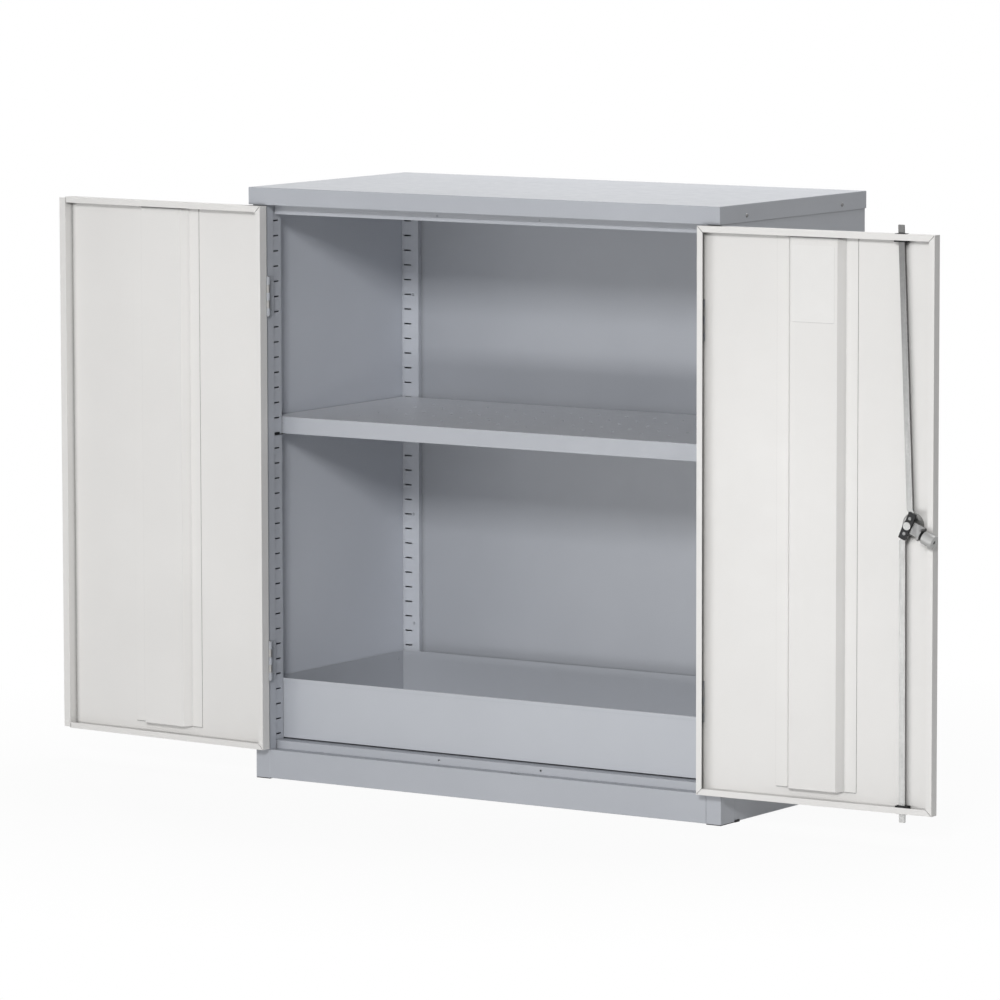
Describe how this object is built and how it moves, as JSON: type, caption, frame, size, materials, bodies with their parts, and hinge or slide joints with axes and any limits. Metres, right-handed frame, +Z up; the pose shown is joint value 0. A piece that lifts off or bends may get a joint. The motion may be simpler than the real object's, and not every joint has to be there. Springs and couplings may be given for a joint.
{
  "type": "chemical storage cabinet",
  "caption": "Low steel cupboard with hinged pan doors standing open, a rod lock with a roller cam, a perforated shelf on clips and a deep sump tray.",
  "frame": {"origin": "on the floor at the centre of the carcass footprint, under the base brace", "axes": "+Z up, -Y out of the front where the doors are, +X to the right as seen from the front"},
  "size_m": [1.7199, 0.483, 0.99],
  "materials": {
    "body_paint": "blue-grey semi-gloss powder coat",
    "door_paint": "warm off-white semi-gloss powder coat",
    "zinc": "dull galvanised steel",
    "chrome": "bright plated",
    "black_metal": "black coated steel",
    "black_plastic": "matt black moulding"
  },
  "bodies": {
    "carcass": {"top_cap": "body_paint", "cap_screws": "zinc", "left_side_panel": "body_paint", "right_side_panel": "body_paint", "left_front_post": "body_paint", "right_front_post": "body_paint", "left_rear_post": "body_paint", "right_rear_post": "body_paint", "back_panel": "body_paint", "rear_post_rivets": "body_paint", "header_rail": "body_paint", "plinth_panel": "body_paint", "sill_rail": "body_paint", "base_panel": "body_paint", "base_brace": "zinc", "glides": "black_plastic", "sump_tray": "body_paint", "sump_rivets": "body_paint", "front_shelf_clips": "black_metal", "rear_shelf_clips": "black_metal", "left_frame_hinge_leaves": "body_paint", "right_frame_hinge_leaves": "body_paint", "left_hinge_pins": "zinc", "right_hinge_pins": "zinc", "hinge_rivets": "body_paint"},
    "left_door": {"left_door_pan": "door_paint", "left_door_stiffener": "door_paint", "left_door_hinge_leaves": "door_paint"},
    "right_door": {"right_door_pan": "door_paint", "right_door_stiffener": "door_paint", "right_door_hinge_leaves": "door_paint", "lock_base": "zinc", "lock_escutcheon": "black_plastic", "upper_rod_guide": "black_plastic", "lower_rod_guide": "black_plastic"},
    "lock_turn": {"lock_spindle": "zinc", "cam_tongue": "zinc", "roller_axle": "zinc", "rotor": "black_metal", "rotor_pins": "chrome", "cam_screw": "chrome", "lock_handle": "black_plastic"},
    "roller": {"roller": "chrome"},
    "upper_rod": {"upper_rod": "zinc"},
    "lower_rod": {"lower_rod": "zinc"},
    "key_plug": {"key_plug": "chrome"},
    "shelf": {"shelf": "body_paint"}
  },
  "joints": [
    {"name": "left_door_hinge", "type": "hinge", "parent": "carcass", "child": "left_door", "pos_m": [-0.4244, -0.2225, 0.5044], "axis": [0, 0, -1], "range_deg": [-183.4, 1.6]},
    {"name": "right_door_hinge", "type": "hinge", "parent": "carcass", "child": "right_door", "pos_m": [0.4244, -0.2225, 0.5044], "axis": [0, 0, 1], "range_deg": [-181.7, 3.3]},
    {"name": "lock_hinge", "type": "hinge", "parent": "right_door", "child": "lock_turn", "pos_m": [0.80423, -0.22973, 0.5062], "axis": [0.0297, -0.9996, 0], "range_deg": [-67, 23]},
    {"name": "roller_hinge", "type": "hinge", "parent": "lock_turn", "child": "roller", "pos_m": [0.84699, -0.24317, 0.48823], "axis": [0.9201, 0.0273, -0.3907], "continuous": true},
    {"name": "upper_rod_hinge", "type": "hinge", "parent": "lock_turn", "child": "upper_rod", "pos_m": [0.80912, -0.22319, 0.51817], "axis": [0.0297, -0.9996, 0], "range_deg": [-25, 70]},
    {"name": "lower_rod_hinge", "type": "hinge", "parent": "lock_turn", "child": "lower_rod", "pos_m": [0.79897, -0.22349, 0.49423], "axis": [0.0297, -0.9996, 0], "range_deg": [-25, 70]},
    {"name": "key_hinge", "type": "hinge", "parent": "lock_turn", "child": "key_plug", "pos_m": [0.80423, -0.22973, 0.5062], "axis": [-0.0297, 0.9996, 0], "range_deg": [0, 90]},
    {"name": "shelf_lift", "type": "slide", "parent": "carcass", "child": "shelf", "axis": [0, 0, 1], "range_m": [0, 0.02]}
  ],
  "couplings": [
    {"joint": "upper_rod_hinge", "follows": "lock_hinge", "ratio": -1.018},
    {"joint": "lower_rod_hinge", "follows": "lock_hinge", "ratio": -1.018}
  ]
}
